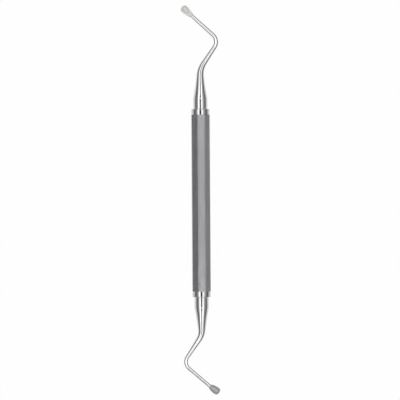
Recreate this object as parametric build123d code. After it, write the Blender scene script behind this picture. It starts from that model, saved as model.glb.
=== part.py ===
from build123d import *
from math import cos, floor, pi, radians, sin, tan
import os

# Double-ended bone curette, in millimetres. It lies flat on one side of its eight-sided
# handle, with the bends of both tips level. The handle runs along Y, one tip at each end.

# Handle: an eight-sided bar with diamond knurling and a smooth turned collar at each end
across_flats = 8.2
sides = 8
diamonds_per_side = 2
knurl_rows = 65
row_pitch = 1.218
knurl_depth = 0.32
collar_diameter = 8.2
collar_length = 2.75
collar_chamfer = 0.25

# Tang of a tip, and the flat-bottomed hole that it is brazed into
tang_diameter = 4.5
tang_length = 12.0
tang_chamfer = 0.4
braze_gap = 0.02
hole_spare = 0.6

# Neck of a tip, from the handle's end face to the start of its taper
neck_diameter = 6.5
neck_length = 5.3
neck_slope = 0.25

# Each tip was bent and ground by hand, so the two differ a little. The first corner is
# measured from the handle's end face, and the runs from corner to corner. The radii are
# those of the round shank: at the start, the middle and the end of its taper, then at the
# end of each bend and run. A cup's turn is its lean from the line of the last run.
upper = dict(
    first_corner=18.03, first_bend=33.9, first_bend_radius=10.8,
    middle_run=15.35, second_bend=81.5, second_bend_radius=4.2, last_run=16.25,
    taper_radii=(3.1, 2.32, 1.77), shank_radii=(1.29, 1.04, 0.98, 0.88),
    cup_turn=0.0, cup_length=6.2, cup_width=3.45, cup_nose=1.5,
)
lower = dict(
    first_corner=17.1, first_bend=34.0, first_bend_radius=8.0,
    middle_run=15.14, second_bend=83.1, second_bend_radius=3.9, last_run=15.4,
    taper_radii=(3.1, 2.34, 1.72), shank_radii=(1.33, 0.93, 0.87, 0.83),
    cup_turn=5.0, cup_length=5.5, cup_width=3.45, cup_nose=1.6,
)

# Spoon-shaped cup: an egg whose mouth is ground level, just above its axis, and hollowed out
# with a smaller egg. The egg's flare and nose are smooth curves, drawn as straight stretches.
# Their handles are shares of the length up to the widest place, and of the nose.
flare_start_share = 0.16
flare_end_share = 0.3
nose_fullness = 0.8
stretches = 3
flat_nose_from = 0.9
mouth_height = 0.35
mouth_level_from = 2.2
mouth_slope = 25.0
bowl_start = 1.4
bowl_neck = 0.1
bowl_rise = 0.12
bowl_wall = 0.28

knurl_half = knurl_rows * row_pitch / 2
handle_half = knurl_half + collar_length


def on_bar(step, y, flats):
    """Point on an eight-sided bar; steps count diamonds round it, from a corner."""
    side = floor(step / diamonds_per_side)
    share = 2 * step / diamonds_per_side - 2 * side - 1
    across = share * flats / 2 * tan(pi / sides)
    return Vector(across, y, flats / 2).rotate(Axis.Y, side * 360 / sides)


def diamond(step, row):
    """The four faces of one pointed diamond, or two of them where the knurling ends."""
    groove_flats = across_flats - 2 * knurl_depth
    point = on_bar(step, row * row_pitch - knurl_half, across_flats)
    corners = [(step - 0.5, row), (step, row + 0.5), (step + 0.5, row), (step, row - 0.5)]
    faces = []
    for (step_1, row_1), (step_2, row_2) in zip(corners, corners[1:] + corners[:1]):
        if 0 <= min(row_1, row_2) and max(row_1, row_2) <= knurl_rows:
            corner_1 = on_bar(step_1, row_1 * row_pitch - knurl_half, groove_flats)
            corner_2 = on_bar(step_2, row_2 * row_pitch - knurl_half, groove_flats)
            faces.append(Face(Wire.make_polygon([point, corner_1, corner_2])))
    return faces


def knurl_end(row):
    """Flat end of the knurled bar, where a row of diamonds is cut through its middle."""
    y = row * row_pitch - knurl_half
    outline = []
    for step in range(sides * diamonds_per_side):
        outline.append(on_bar(step, y, across_flats - 2 * knurl_depth))
        outline.append(on_bar(step + 0.5, y, across_flats))
    return Face(Wire.make_polygon(outline))


def knurled_bar():
    """Eight-sided bar covered with staggered diamonds, two across each side."""
    faces = [knurl_end(0), knurl_end(knurl_rows)]
    for step in range(sides * diamonds_per_side):
        for row in range(knurl_rows + 1):
            faces += diamond(step + 0.5, row)
        for row in range(knurl_rows):
            faces += diamond(step, row + 0.5)
    return Solid(Shell(faces))


def collar():
    """Smooth turned collar on the +Y end of the knurled bar."""
    ring = Pos(0, 0, handle_half - collar_length / 2) * Cylinder(collar_diameter / 2, collar_length)
    return Rotation(-90, 0, 0) * chamfer(ring.edges().sort_by(Axis.Z)[-1], collar_chamfer)


def tang_hole():
    """Blind hole in the +Y end of the handle."""
    depth = tang_length + hole_spare
    hole = Cylinder(tang_diameter / 2 + braze_gap, depth)
    return Pos(0, handle_half - depth / 2, 0) * Rotation(90, 0, 0) * hole


def handle():
    """Knurled bar with a collar and a tang's hole at both ends."""
    bar = knurled_bar()
    for turn in (0, 180):
        bar += Rotation(0, 0, turn) * collar()
        bar -= Rotation(0, 0, turn) * tang_hole()
    return bar


def direction(angle):
    """Unit vector in the plane of the bends, turned from +Y towards +X."""
    return Vector(sin(radians(angle)), cos(radians(angle)))


def centre_line(tip):
    """A tip's route from the handle's end face to its cup, as lines and tangent arcs."""
    start = Vector(0, handle_half)
    first = start + Vector(0, tip["first_corner"])
    second = first + direction(tip["first_bend"]) * tip["middle_run"]
    end = second + direction(tip["first_bend"] - tip["second_bend"]) * tip["last_run"]
    radii = [tip["first_bend_radius"], tip["second_bend_radius"]]
    return FilletPolyline(start, first, second, end, radius=radii).edges()


def turned(points):
    """Solid turned about the Y axis, with flat ends. Its side is straight from point to point,
    as Bezier curves, because those take fewer facets than plain lines do."""
    side = [Bezier(start, end) for start, end in zip(points, points[1:])]
    ends = Polyline(points[-1], (0, points[-1][1]), (0, points[0][1]), points[0])
    return revolve(make_face([*side, ends]), Axis.Y)


def root(tip, bend_start):
    """Tang, neck and straight part of the taper."""
    tang_base = Pos(0, 0, handle_half - tang_length / 2) * Cylinder(tang_diameter / 2, tang_length)
    tang = Rotation(-90, 0, 0) * chamfer(tang_base.edges().sort_by(Axis.Z)[0], tang_chamfer)
    wide, middle, thin = tip["taper_radii"]
    neck_end = handle_half + neck_length
    side = [
        (neck_diameter / 2, handle_half),
        (neck_diameter / 2, neck_end - neck_slope),
        (wide, neck_end),
        (middle, (neck_end + bend_start) / 2),
        (thin, bend_start),
    ]
    return tang + turned(side)


def swept(path, start, end, facing):
    """Round stretch of the shank between two radii, with its end face facing a direction."""
    first = Plane(path @ 0, z_dir=path % 0) * Circle(start)
    last = Plane(path @ 1, z_dir=facing) * Circle(end)
    return sweep([first, last], path=path, multisection=True)


def run(path, start, end):
    """Straight round run of the shank, between the radii at its two ends."""
    upward = Vector(0, 0, 1)
    return Plane(path @ 0, x_dir=(path % 0).cross(upward), z_dir=upward) * turned(
        [(start, 0), (end, path.length)]
    )


def egg(neck, width, length, nose):
    """Egg-shaped solid along +Y, from a round neck at the origin to a blunt, flat-tipped nose."""
    half = width / 2
    widest = length - nose
    flare = Bezier(
        (neck, 0), (neck, widest * flare_start_share), (half, widest * flare_end_share), (half, widest)
    )
    blunt = Bezier(
        flare @ 1, (half, widest + nose * nose_fullness), (half * nose_fullness, length), (0, length)
    )
    places = [flare @ (step / stretches) for step in range(stretches)]
    places += [blunt @ (step / stretches * flat_nose_from) for step in range(stretches + 1)]
    return turned([(place.X, place.Y) for place in places])


def cup(tip):
    """Spoon along +Y with its mouth towards +Z. The mouth starts with a slope at the shank."""
    width = tip["cup_width"]
    length = tip["cup_length"]
    slope_top = mouth_height + mouth_level_from * tan(radians(mouth_slope))
    mouth = Polyline(
        (0, slope_top), (mouth_level_from, mouth_height), (length + 1, mouth_height),
        (length + 1, width), (0, width), close=True,
    )
    above_mouth = extrude(Plane.YZ * make_face(mouth), width, both=True)
    bowl_length = length - bowl_start - bowl_wall
    bowl = egg(bowl_neck, width - 2 * bowl_wall, bowl_length, tip["cup_nose"] - bowl_wall / 2)
    back = egg(tip["shank_radii"][-1], width, length, tip["cup_nose"])
    return back - above_mouth - Pos(0, bowl_start, bowl_rise) * bowl


def tip_piece(tip, mouth):
    """One whole tip on the +Y end of the handle, with its cup's mouth towards mouth."""
    taper, first_bend, middle_run, second_bend, last_run = centre_line(tip)
    radii = tip["taper_radii"][-1:] + tip["shank_radii"]
    body = root(tip, (taper @ 1).Y)
    along = direction(tip["first_bend"] - tip["second_bend"] - tip["cup_turn"])
    body += swept(first_bend, radii[0], radii[1], first_bend % 1)
    body += run(middle_run, radii[1], radii[2])
    body += swept(second_bend, radii[2], radii[3], second_bend % 1)
    body += swept(last_run, radii[3], radii[4], along)
    return body + Plane(last_run @ 1, x_dir=along.cross(mouth), z_dir=mouth) * cup(tip)


pieces = dict(
    handle=handle(),
    upper_tip=tip_piece(upper, Vector(0, 0, 1)),
    lower_tip=Rotation(0, 0, 180) * tip_piece(lower, Vector(0, 0, -1)),
)

# The origin is at the middle of the whole object's footprint, on the surface it lies on
box = Compound(list(pieces.values())).bounding_box()
to_origin = Pos(-box.center().X, -box.center().Y, -box.min.Z)

os.makedirs("parts", exist_ok=True)
for name, piece in pieces.items():
    export_step(to_origin * piece, f"parts/{name}.step")
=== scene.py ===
from math import cos, pi, radians, sin, tan
import bpy
from mathutils import Matrix, Vector


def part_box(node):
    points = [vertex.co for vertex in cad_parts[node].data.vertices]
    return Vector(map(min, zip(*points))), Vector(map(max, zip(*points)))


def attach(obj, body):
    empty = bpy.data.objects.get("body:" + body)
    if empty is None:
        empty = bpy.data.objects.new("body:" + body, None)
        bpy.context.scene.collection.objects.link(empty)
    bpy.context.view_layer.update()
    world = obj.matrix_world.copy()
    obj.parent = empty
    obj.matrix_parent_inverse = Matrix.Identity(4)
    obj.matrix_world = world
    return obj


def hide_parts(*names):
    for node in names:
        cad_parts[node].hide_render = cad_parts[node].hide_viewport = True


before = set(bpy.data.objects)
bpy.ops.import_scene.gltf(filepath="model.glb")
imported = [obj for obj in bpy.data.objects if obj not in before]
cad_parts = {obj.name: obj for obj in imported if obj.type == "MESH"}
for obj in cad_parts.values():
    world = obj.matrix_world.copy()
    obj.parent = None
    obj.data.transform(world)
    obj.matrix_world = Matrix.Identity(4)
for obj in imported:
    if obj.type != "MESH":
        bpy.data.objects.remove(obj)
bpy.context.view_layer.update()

# The handle is an eight-sided stainless steel bar. Its sides are knurled with a pressed diamond
# pattern, two diamonds across each side, and a smooth collar is turned at each of its ends.
handle_low, handle_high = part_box("handle")
handle_middle = (handle_low + handle_high) / 2
handle_half = (handle_high.y - handle_low.y) / 2
across_flats = handle_high.z - handle_low.z
eighth = pi / 8
collar_radius = across_flats / 2
collar_length = 0.00275
collar_corner = 0.0003
collar_inner_chamfer = 0.00014
collar_core_radius = 0.003
seam = 0.00001
knurl_half = handle_half - collar_length
knurl_rows = 65
row_pitch = 2 * knurl_half / knurl_rows
diamond_width = across_flats * tan(eighth) / 2
groove_depth = 0.00026
groove_floor = 0.00003
groove_wall = 0.00017
wall_share = 0.88
land_edge = 0.00004

bpy.ops.object.select_all(action="DESELECT")
bpy.ops.mesh.primitive_circle_add(vertices=4, radius=0.5, fill_type="NGON")
handle = bpy.context.object
handle.name = "knurled_handle"
bpy.ops.object.mode_set(mode="EDIT")
bpy.ops.transform.resize(value=(diamond_width, row_pitch, 1))
bpy.ops.transform.translate(value=(-diamond_width / 2, 0, across_flats / 2 - groove_depth))
bpy.ops.mesh.inset(thickness=groove_floor, depth=0)
bpy.ops.mesh.inset(thickness=groove_wall, depth=groove_depth * wall_share)
bpy.ops.mesh.inset(thickness=land_edge, depth=groove_depth * (1 - wall_share))
bpy.ops.mesh.select_all(action="SELECT")
for step in (
    (diamond_width, 0, 0),
    (diamond_width / 2, row_pitch / 2, 0),
    (-diamond_width, 0, 0),
    (-diamond_width, 0, 0),
):
    bpy.ops.mesh.duplicate_move(TRANSFORM_OT_translate={"value": step})
bpy.ops.mesh.select_all(action="SELECT")
bpy.ops.transform.translate(value=(0, -knurl_half, 0))
bpy.ops.object.mode_set(mode="OBJECT")
rows = handle.modifiers.new("rows", "ARRAY")
rows.count = knurl_rows + 1
rows.use_relative_offset = False
rows.use_constant_offset = True
rows.constant_offset_displace = (0, row_pitch, 0)
bpy.ops.object.modifier_apply(modifier="rows")

# One side is trimmed to its eighth of the bar and to the bar's length, then turned round the axis
bpy.ops.object.mode_set(mode="EDIT")
for where, outward in (
    ((0, 0, 0), (cos(eighth), 0, -sin(eighth))),
    ((0, 0, 0), (-cos(eighth), 0, -sin(eighth))),
    ((0, knurl_half, 0), (0, 1, 0)),
    ((0, -knurl_half, 0), (0, -1, 0)),
):
    bpy.ops.mesh.select_all(action="SELECT")
    bpy.ops.mesh.bisect(plane_co=where, plane_no=outward, clear_outer=True, threshold=0.000001)
bpy.ops.mesh.select_all(action="SELECT")
for side in range(7):
    bpy.ops.mesh.duplicate()
    bpy.ops.transform.rotate(value=2 * eighth, orient_axis="Y", center_override=(0, 0, 0))
bpy.ops.mesh.select_all(action="SELECT")
bpy.ops.mesh.remove_doubles(threshold=0.000004)
bpy.ops.mesh.fill_holes(sides=0)
bpy.ops.mesh.select_all(action="SELECT")
bpy.ops.mesh.delete_loose()
bpy.ops.mesh.select_all(action="SELECT")
bpy.ops.mesh.normals_make_consistent(inside=False)
bpy.ops.object.mode_set(mode="OBJECT")


def turned(name, outline, segments):
    """A solid turned about the Y axis from (radius, y) stations, left open in edit mode with its
    last face selected."""
    bpy.ops.object.select_all(action="DESELECT")
    radius, y = outline[0]
    bpy.ops.mesh.primitive_circle_add(
        vertices=segments, radius=radius, fill_type="NGON", location=(0, y, 0), rotation=(-pi / 2, 0, 0)
    )
    piece = bpy.context.object
    piece.name = name
    bpy.ops.object.transform_apply(location=True, rotation=True, scale=True)
    bpy.ops.object.mode_set(mode="EDIT")
    for next_radius, next_y in outline[1:]:
        bpy.ops.mesh.extrude_region_move(TRANSFORM_OT_translate={"value": (0, next_y - y, 0)})
        share = next_radius / radius
        bpy.ops.transform.resize(value=(share, 1, share), center_override=(0, next_y, 0))
        radius, y = next_radius, next_y
    return piece


def rounded(radius, y, corner, steps=6):
    """Stations round a collar's outer corner, from its side to its end face."""
    turns = [pi / 2 * i / steps for i in range(steps + 1)]
    return [(radius - corner * (1 - cos(a)), y - corner * (1 - sin(a))) for a in turns]


# The collar starts a little way inside the bar and ends in a shallow dimple behind the tip's neck.
# Stations close to its corners keep its side straight under smooth shading.
collar_outline = [
    (collar_core_radius, knurl_half - 0.0002),
    (collar_core_radius, knurl_half + seam),
    (collar_radius - collar_inner_chamfer, knurl_half + seam),
    (collar_radius, knurl_half + collar_inner_chamfer),
    (collar_radius, knurl_half + 0.0002),
    (collar_radius, handle_half - 0.00035),
]
collar_outline += rounded(collar_radius, handle_half, collar_corner)
collar_outline += [(0.0024, handle_half), (0.0024, handle_half - 0.0005)]
turned("collar", collar_outline, 128)
bpy.ops.mesh.select_all(action="SELECT")
bpy.ops.mesh.duplicate()
bpy.ops.transform.rotate(value=pi, orient_axis="Z", center_override=(0, 0, 0))
bpy.ops.mesh.select_all(action="SELECT")
bpy.ops.mesh.normals_make_consistent(inside=False)
bpy.ops.object.mode_set(mode="OBJECT")
handle.select_set(True)
bpy.context.view_layer.objects.active = handle
bpy.ops.object.join()
handle.location = handle_middle
bpy.ops.object.transform_apply(location=True, rotation=True, scale=True)
bpy.ops.object.shade_smooth_by_angle(angle=radians(28))
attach(handle, "root")
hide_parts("handle")


def steel_finish(name, colour, grain_scale, smoothest, roughest, metallic=1.0):
    """Bare steel whose roughness varies with a fine grain."""
    steel = bpy.data.materials.new(name)
    steel.use_nodes = True
    nodes, links = steel.node_tree.nodes, steel.node_tree.links
    shader = nodes["Principled BSDF"]
    shader.inputs["Metallic"].default_value = metallic
    shader.inputs["Base Color"].default_value = (*colour, 1)
    place = nodes.new("ShaderNodeTexCoord")
    grain = nodes.new("ShaderNodeTexNoise")
    grain.inputs["Scale"].default_value = grain_scale
    grain.inputs["Detail"].default_value = 4.0
    links.new(place.outputs["Object"], grain.inputs["Vector"])
    finish = nodes.new("ShaderNodeMapRange")
    finish.inputs["From Min"].default_value = 0.3
    finish.inputs["From Max"].default_value = 0.7
    finish.inputs["To Min"].default_value = smoothest
    finish.inputs["To Max"].default_value = roughest
    links.new(grain.outputs["Fac"], finish.inputs["Value"])
    links.new(finish.outputs["Result"], shader.inputs["Roughness"])
    return steel


# The knurled part is satin, and the collars are polished: the finish changes along the bar
knurled_steel = steel_finish("knurled_steel", (0.67, 0.67, 0.68), 1400.0, 0.13, 0.24)
nodes, links = knurled_steel.node_tree.nodes, knurled_steel.node_tree.links
split = nodes.new("ShaderNodeSeparateXYZ")
links.new(nodes["Texture Coordinate"].outputs["Object"], split.inputs[0])
away = nodes.new("ShaderNodeMath")
away.operation = "SUBTRACT"
away.inputs[1].default_value = handle_middle.y
links.new(split.outputs["Y"], away.inputs[0])
either_way = nodes.new("ShaderNodeMath")
either_way.operation = "ABSOLUTE"
links.new(away.outputs[0], either_way.inputs[0])
on_collar = nodes.new("ShaderNodeMath")
on_collar.operation = "GREATER_THAN"
on_collar.inputs[1].default_value = knurl_half
links.new(either_way.outputs[0], on_collar.inputs[0])
rough = nodes.new("ShaderNodeMix")
rough.inputs["B"].default_value = 0.07
links.new(on_collar.outputs[0], rough.inputs["Factor"])
links.new(nodes["Map Range"].outputs["Result"], rough.inputs["A"])
links.new(rough.outputs["Result"], nodes["Principled BSDF"].inputs["Roughness"])
handle.data.materials.append(knurled_steel)

# Each tip is one forged and ground steel rod: a tang that is brazed into the handle, a neck, a
# taper, a thin shank bent twice, and a spoon-shaped cup. All but the cup is mirror polished. Each
# end was bent and ground by hand, so that the two differ a little.
neck_radius = 0.00325
neck_length = 0.0053
neck_slope_start = 0.0008
neck_slope_length = 0.0011
tang_radius = 0.00225
tang_length = 0.012
tang_chamfer = 0.0004
mouth_height = 0.00035
mouth_level_from = 0.0022
mouth_slope = radians(25)
mouth_bend_length = 0.0007
bowl_start = 0.0014
bowl_neck = 0.0001
bowl_wall = 0.00028
bowl_rise = 0.00012
polish_ends = 0.0006

polished_steel = steel_finish("polished_steel", (0.74, 0.74, 0.75), 900.0, 0.05, 0.10)
# The upper cup is ground and dull, and its steel is painted light grey and nearly non-metallic, as
# painted light. The lower cup's back is brushed, and its steel is painted darker and half metallic, as
# painted shade.
ground_steel_painted_light = steel_finish("ground_steel_painted_light", (0.70, 0.70, 0.68), 2500.0, 0.55, 0.70, 0.1)
brushed_steel_painted_shade = steel_finish("brushed_steel_painted_shade", (0.42, 0.42, 0.42), 2500.0, 0.30, 0.42, 0.5)


def curved(start, middle, end, steps):
    """Stations (radius, y) on the parabola through three stations, without the first."""
    stations = []
    for i in range(1, steps + 1):
        y = start[1] + (end[1] - start[1]) * i / steps
        radius = 0
        for own, one, other in ((start, middle, end), (middle, start, end), (end, start, middle)):
            share = (y - one[1]) * (y - other[1]) / ((own[1] - one[1]) * (own[1] - other[1]))
            radius += own[0] * share
        stations.append((radius, y))
    return stations


def grow(step, share, centre):
    """Extrudes the selected end face by a step and scales it about its own centre."""
    bpy.ops.mesh.extrude_region_move(TRANSFORM_OT_translate={"value": step})
    bpy.ops.transform.resize(value=(share, share, share), center_override=centre + step)
    return centre + step


def grow_round(turn, pivot, share, centre):
    """Extrudes the selected end face round a pivot; a positive turn is from +Y towards +X."""
    bpy.ops.mesh.extrude_region_move(TRANSFORM_OT_translate={"value": (0, 0, 0)})
    bpy.ops.transform.rotate(value=turn, orient_axis="Z", center_override=pivot)
    arm = centre - pivot
    arm = Vector((arm.x * cos(turn) + arm.y * sin(turn), arm.y * cos(turn) - arm.x * sin(turn), 0))
    centre = pivot + arm
    bpy.ops.transform.resize(value=(share, share, share), center_override=centre)
    return centre


def egg(neck, width, length, nose, start=0.0, steps=14):
    """Stations (radius, y) of an egg, from its round neck past its widest place to its nose. The
    nose ends in a small flat."""
    half = width / 2
    widest = length - nose
    flare = [(neck, 0), (neck, widest * 0.16), (half, widest * 0.3), (half, widest)]
    blunt = [(half, widest), (half, widest + nose * 0.7), (half * 0.74, length), (0, length)]
    stations = []
    for curve, end in ((flare, 1.0), (blunt, 0.97)):
        for i in range(1, steps + 1):
            t = end * i / steps
            shares = ((1 - t) ** 3, 3 * t * (1 - t) ** 2, 3 * t * t * (1 - t), t ** 3)
            radius = sum(share * point[0] for share, point in zip(shares, curve))
            y = sum(share * point[1] for share, point in zip(shares, curve))
            stations.append((radius, start + y))
    return stations


def root_outline(taper, bend_start):
    """Stations of the tang, the neck and the taper up to the first bend."""
    neck_end = handle_half + neck_length
    slope_start = neck_end - neck_slope_start
    outline = [
        (tang_radius - tang_chamfer, handle_half - tang_length),
        (tang_radius, handle_half - tang_length + tang_chamfer),
        (tang_radius, handle_half),
        (neck_radius, handle_half),
        (neck_radius, handle_half + 0.0001),
        (neck_radius, slope_start - 0.0001),
        (neck_radius, slope_start),
    ]
    for i in range(1, 9):
        drop = (neck_radius - taper[0]) * (1 - cos(pi * i / 8)) / 2
        outline.append((neck_radius - drop, slope_start + neck_slope_length * i / 8))
    middle = (taper[1], (neck_end + bend_start) / 2)
    return outline + curved(outline[-1], middle, (taper[2], bend_start), 12)


def mouth_cutter():
    """Block above a cup's mouth. Its floor is level, and slopes up towards the shank."""
    bpy.ops.object.select_all(action="DESELECT")
    bpy.ops.mesh.primitive_cube_add(
        size=1, scale=(0.008, 0.008, 0.004), location=(0, mouth_level_from + 0.004, mouth_height + 0.002)
    )
    cutter = bpy.context.object
    bpy.ops.object.transform_apply(location=True, rotation=True, scale=True)
    vertices = cutter.data.vertices
    near_shank = mouth_level_from + 0.001
    for face in cutter.data.polygons:
        face.select = face.normal.y < -0.9
    for edge in cutter.data.edges:
        edge.select = all(vertices[v].co.y < near_shank for v in edge.vertices)
    for vertex in vertices:
        vertex.select = vertex.co.y < near_shank
    bpy.ops.object.mode_set(mode="EDIT")
    bpy.ops.mesh.extrude_region_move(TRANSFORM_OT_translate={"value": (0, -mouth_level_from, 0)})
    bpy.ops.mesh.select_all(action="DESELECT")
    bpy.ops.object.mode_set(mode="OBJECT")
    for vertex in cutter.data.vertices:
        vertex.select = vertex.co.y < 0.001 and vertex.co.z < 0.002
    bpy.ops.object.mode_set(mode="EDIT")
    bpy.ops.transform.translate(value=(0, 0, mouth_level_from * tan(mouth_slope)))
    bpy.ops.mesh.select_all(action="DESELECT")
    bpy.ops.object.mode_set(mode="OBJECT")
    for vertex in cutter.data.vertices:
        vertex.select = abs(vertex.co.y - mouth_level_from) < 0.0001 and vertex.co.z < 0.002
    bpy.ops.object.mode_set(mode="EDIT")
    bpy.ops.mesh.bevel(offset=mouth_bend_length, segments=10)
    bpy.ops.object.mode_set(mode="OBJECT")
    return cutter


def bowl_cutter(cup_length, cup_width, nose):
    """Smaller egg that hollows a cup out."""
    stations = egg(
        bowl_neck, cup_width - 2 * bowl_wall, cup_length - bowl_start - bowl_wall, nose - bowl_wall / 2,
        bowl_start,
    )
    cutter = turned("bowl", [(bowl_neck, bowl_start)] + stations, 64)
    bpy.ops.mesh.select_all(action="SELECT")
    bpy.ops.mesh.normals_make_consistent(inside=False)
    bpy.ops.transform.translate(value=(0, 0, bowl_rise))
    bpy.ops.object.mode_set(mode="OBJECT")
    return cutter


def make_tip(name, first_bend, second_bend, runs, taper, shank, cup, lean, mouth_up, cup_finish_and_painted_shading):
    """One tip on the +Y end of the handle, whose middle is at the origin. A bend is its angle and
    radius, and the runs go from corner to corner. The radii are those of the round shank: at the
    start, the middle and the end of its taper, then at the end of each bend and run. A cup is its
    length, width and nose."""
    first_run, middle_run, last_run = runs
    cut_off_1 = first_bend[1] * tan(first_bend[0] / 2)
    cut_off_2 = second_bend[1] * tan(second_bend[0] / 2)
    bend_start = handle_half + first_run - cut_off_1
    tip = turned(name, root_outline(taper, bend_start), 64)
    tip.data.materials.append(polished_steel)
    # The cup's material: its finish, and a tone painted lighter or darker in place of light and shade
    tip.data.materials.append(cup_finish_and_painted_shading)

    # First bend, middle run, second bend and last run, thinning all the way
    centre = Vector((0, bend_start, 0))
    heading = 0
    radii = [taper[2]] + list(shank)
    stretches = [
        ("bend", first_bend[0], first_bend[1], 12),
        ("run", middle_run - cut_off_1 - cut_off_2, 0, 10),
        ("bend", -second_bend[0], second_bend[1], 28),
        ("run", last_run - cut_off_2, 0, 12),
    ]
    for (kind, amount, radius, steps), wide, thin in zip(stretches, radii, radii[1:]):
        share = (thin / wide) ** (1 / steps)
        side = 1 if amount > 0 else -1
        pivot = centre + Vector((cos(heading), -sin(heading), 0)) * side * radius
        for i in range(steps):
            if kind == "bend":
                centre = grow_round(amount / steps, pivot, share, centre)
            else:
                step = Vector((sin(heading), cos(heading), 0)) * amount / steps
                centre = grow(step, share, centre)
        if kind == "bend":
            heading += amount

    # The cup's back, then its mouth and its hollow
    bpy.ops.transform.rotate(value=-lean, orient_axis="Z", center_override=centre)
    heading -= lean
    along = Vector((sin(heading), cos(heading), 0))
    shank_end = centre.copy()
    y, radius = 0, radii[-1]
    cup_length, cup_width, nose = cup
    for next_radius, next_y in egg(radius, cup_width, cup_length, nose):
        centre = grow(along * (next_y - y), next_radius / radius, centre)
        y, radius = next_y, next_radius
    bpy.ops.mesh.select_all(action="SELECT")
    bpy.ops.mesh.normals_make_consistent(inside=False)
    bpy.ops.object.mode_set(mode="OBJECT")
    for cutter in (mouth_cutter(), bowl_cutter(cup_length, cup_width, nose)):
        cutter.rotation_euler = (0, 0 if mouth_up else pi, -heading)
        cutter.location = shank_end
        bpy.context.view_layer.update()
        cut = tip.modifiers.new("cut", "BOOLEAN")
        cut.operation = "DIFFERENCE"
        cut.solver = "EXACT"
        cut.object = cutter
        bpy.context.view_layer.objects.active = tip
        bpy.ops.object.modifier_apply(modifier="cut")
        bpy.data.objects.remove(cutter)
    for face in tip.data.polygons:
        if (face.center - shank_end).dot(along) > polish_ends:
            face.material_index = 1
    return tip


upper_tip = make_tip(
    "upper_curette_tip",
    first_bend=(radians(33.9), 0.0108), second_bend=(radians(81.5), 0.0042),
    runs=(0.01803, 0.01535, 0.01625),
    taper=(0.0031, 0.00232, 0.00177), shank=(0.00129, 0.00104, 0.00098, 0.00088),
    cup=(0.00618, 0.00343, 0.0015), lean=0, mouth_up=True, cup_finish_and_painted_shading=ground_steel_painted_light,
)
lower_tip = make_tip(
    "lower_curette_tip",
    first_bend=(radians(34.0), 0.0080), second_bend=(radians(83.1), 0.0039),
    runs=(0.0171, 0.01514, 0.0154),
    taper=(0.0031, 0.00234, 0.00172), shank=(0.00133, 0.00093, 0.00087, 0.00083),
    cup=(0.0055, 0.00343, 0.0016), lean=radians(5), mouth_up=False, cup_finish_and_painted_shading=brushed_steel_painted_shade,
)
lower_tip.rotation_euler = (0, 0, pi)
for tip, node in ((upper_tip, "upper_tip"), (lower_tip, "lower_tip")):
    bpy.ops.object.select_all(action="DESELECT")
    tip.select_set(True)
    bpy.context.view_layer.objects.active = tip
    tip.location = handle_middle
    bpy.ops.object.transform_apply(location=True, rotation=True, scale=True)
    bpy.ops.object.shade_smooth_by_angle(angle=radians(30))
    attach(tip, "root")
    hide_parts(node)

# The table is a plain white sheet. It shows white to the camera, and to the polished steel it is
# a white card that fades out on both sides of the instrument.
table_colour = 0.5
table_white = 0.985
card_white = 0.90
card_full_to = 0.007
card_ends_at = 0.034
bpy.ops.mesh.primitive_plane_add(size=6, location=(0, 0, 0))
table = bpy.context.object
table.name = "table"
paint = bpy.data.materials.new("white_table")
paint.use_nodes = True
nodes, links = paint.node_tree.nodes, paint.node_tree.links
shader = nodes["Principled BSDF"]
shader.inputs["Base Color"].default_value = (table_colour, table_colour, table_colour, 1)
shader.inputs["Roughness"].default_value = 0.9
shader.inputs["Specular IOR Level"].default_value = 0.0
glow = nodes.new("ShaderNodeEmission")
glow.inputs["Strength"].default_value = 1.0
rays = nodes.new("ShaderNodeLightPath")
reflected = nodes.new("ShaderNodeMath")
reflected.operation = "MAXIMUM"
links.new(rays.outputs["Is Glossy Ray"], reflected.inputs[0])
links.new(rays.outputs["Is Transmission Ray"], reflected.inputs[1])
place = nodes.new("ShaderNodeTexCoord")
split = nodes.new("ShaderNodeSeparateXYZ")
links.new(place.outputs["Object"], split.inputs[0])
away = nodes.new("ShaderNodeMath")
away.operation = "ABSOLUTE"
links.new(split.outputs["X"], away.inputs[0])
card = nodes.new("ShaderNodeMapRange")
card.inputs["From Min"].default_value = card_full_to
card.inputs["From Max"].default_value = card_ends_at
card.inputs["To Min"].default_value = card_white
card.inputs["To Max"].default_value = 0.0
links.new(away.outputs[0], card.inputs["Value"])
dimmer = nodes.new("ShaderNodeMath")
dimmer.operation = "MULTIPLY"
links.new(card.outputs["Result"], dimmer.inputs[1])
links.new(reflected.outputs[0], dimmer.inputs[0])
direct = nodes.new("ShaderNodeMath")
direct.operation = "MULTIPLY"
direct.inputs[1].default_value = table_white
links.new(rays.outputs["Is Camera Ray"], direct.inputs[0])
part = nodes.new("ShaderNodeMath")
part.operation = "MAXIMUM"
links.new(direct.outputs[0], part.inputs[0])
links.new(dimmer.outputs[0], part.inputs[1])
mix = nodes.new("ShaderNodeMixShader")
links.new(part.outputs[0], mix.inputs["Fac"])
links.new(shader.outputs[0], mix.inputs[1])
links.new(glow.outputs[0], mix.inputs[2])
links.new(mix.outputs[0], nodes["Material Output"].inputs["Surface"])
table.data.materials.append(paint)

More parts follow.
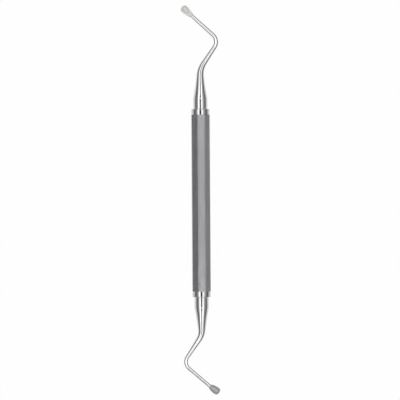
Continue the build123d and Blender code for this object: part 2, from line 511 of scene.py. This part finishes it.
# The camera looks straight down, a little from the left, through a long lens
view_turn = radians(3.2)
view_roll = radians(-0.38)
frame_width = 0.1798
camera_distance = 1.5
photo_centre = (200.0, 200.0)
photo_handle_middle = (200.96, 203.1)
metres_per_pixel = frame_width / 400
toward_camera = Vector((-sin(view_turn), 0, cos(view_turn)))
view_frame = Matrix.Rotation(-view_turn, 3, "Y")
camera_data = bpy.data.cameras.new("camera")
camera_data.sensor_width = 36
camera_data.lens = camera_data.sensor_width * camera_distance / frame_width
camera_data.clip_end = 10
camera = bpy.data.objects.new("camera", camera_data)
bpy.context.scene.collection.objects.link(camera)
bpy.context.scene.camera = camera
camera_frame = view_frame @ Matrix.Rotation(view_roll, 3, "Z")
camera.rotation_euler = camera_frame.to_euler()
aim = handle_middle.copy()
aim -= camera_frame.col[0] * (photo_handle_middle[0] - photo_centre[0]) * metres_per_pixel
aim += camera_frame.col[1] * (photo_handle_middle[1] - photo_centre[1]) * metres_per_pixel
camera.location = aim + toward_camera * camera_distance

# Two long soft lights leave a gap for the camera, which shows as a dark line along the necks. Two
# short bars across the gap keep it out of the thin shanks.
light_height = 0.6
light_length = 0.9
light_radiance = 1.25
gap_half = light_height * tan(radians(10.5))
light_width = light_height * tan(radians(34)) - gap_half
bar_length = 0.066
bar_away = 0.117
bar_radiance = 2.3
for width, length, x, y, radiance in (
    (light_width, light_length, gap_half + light_width / 2, 0, light_radiance),
    (light_width, light_length, -gap_half - light_width / 2, 0, light_radiance),
    (2 * gap_half, bar_length, 0, bar_away, bar_radiance),
    (2 * gap_half, bar_length, 0, -bar_away, bar_radiance),
):
    data = bpy.data.lights.new("soft_light", "AREA")
    data.shape = "RECTANGLE"
    data.size = width
    data.size_y = length
    data.energy = radiance * pi * width * length
    lamp = bpy.data.objects.new("soft_light", data)
    bpy.context.scene.collection.objects.link(lamp)
    lamp.rotation_euler = (0, -view_turn, 0)
    lamp.location = toward_camera * light_height + view_frame.col[0] * x + Vector((0, y, 0))
    lamp.visible_camera = False

# A grey tent round the whole set is seen in the steel alone, and gives it its dark edges. The
# stops are shares of its height, each with its grey.
tent_radius = 0.9
tent_stops = (
    (0.0, 0.14), (0.17, 0.13), (0.42, 0.24), (0.64, 0.42), (0.78, 0.55), (0.86, 0.5), (0.93, 0.03),
)
bpy.ops.object.select_all(action="DESELECT")
bpy.ops.mesh.primitive_uv_sphere_add(segments=48, ring_count=24, radius=tent_radius)
tent = bpy.context.object
tent.name = "grey_tent"
tent.visible_camera = False
tent.visible_diffuse = False
tent.visible_shadow = False
cloth = bpy.data.materials.new("grey_tent")
cloth.use_nodes = True
nodes, links = cloth.node_tree.nodes, cloth.node_tree.links
nodes.remove(nodes["Principled BSDF"])
place = nodes.new("ShaderNodeTexCoord")
split = nodes.new("ShaderNodeSeparateXYZ")
links.new(place.outputs["Object"], split.inputs[0])
high = nodes.new("ShaderNodeMath")
high.operation = "DIVIDE"
high.inputs[1].default_value = tent_radius
links.new(split.outputs["Z"], high.inputs[0])
ramp = nodes.new("ShaderNodeValToRGB")
links.new(high.outputs[0], ramp.inputs[0])
while len(ramp.color_ramp.elements) < len(tent_stops):
    ramp.color_ramp.elements.new(0.5)
for element, (where, grey) in zip(ramp.color_ramp.elements, tent_stops):
    element.position = where
    element.color = (grey, grey, grey, 1)
glow = nodes.new("ShaderNodeEmission")
links.new(ramp.outputs[0], glow.inputs["Color"])
links.new(glow.outputs[0], nodes["Material Output"].inputs["Surface"])
tent.data.materials.append(cloth)

# The room is white to the camera and in reflections, and lights the object with less
room_light = 0.6
world = bpy.data.worlds.new("room")
bpy.context.scene.world = world
world.use_nodes = True
nodes, links = world.node_tree.nodes, world.node_tree.links
rays = nodes.new("ShaderNodeLightPath")
seen = nodes.new("ShaderNodeMath")
seen.operation = "MAXIMUM"
links.new(rays.outputs["Is Camera Ray"], seen.inputs[0])
links.new(rays.outputs["Is Glossy Ray"], seen.inputs[1])
also = nodes.new("ShaderNodeMath")
also.operation = "MAXIMUM"
links.new(seen.outputs[0], also.inputs[0])
links.new(rays.outputs["Is Transmission Ray"], also.inputs[1])
strength = nodes.new("ShaderNodeMapRange")
links.new(also.outputs[0], strength.inputs["Value"])
strength.inputs["To Min"].default_value = room_light
strength.inputs["To Max"].default_value = 1.0
nodes["Background"].inputs["Color"].default_value = (1, 1, 1, 1)
links.new(strength.outputs[0], nodes["Background"].inputs["Strength"])
bpy.context.scene.view_settings.view_transform = "Standard"
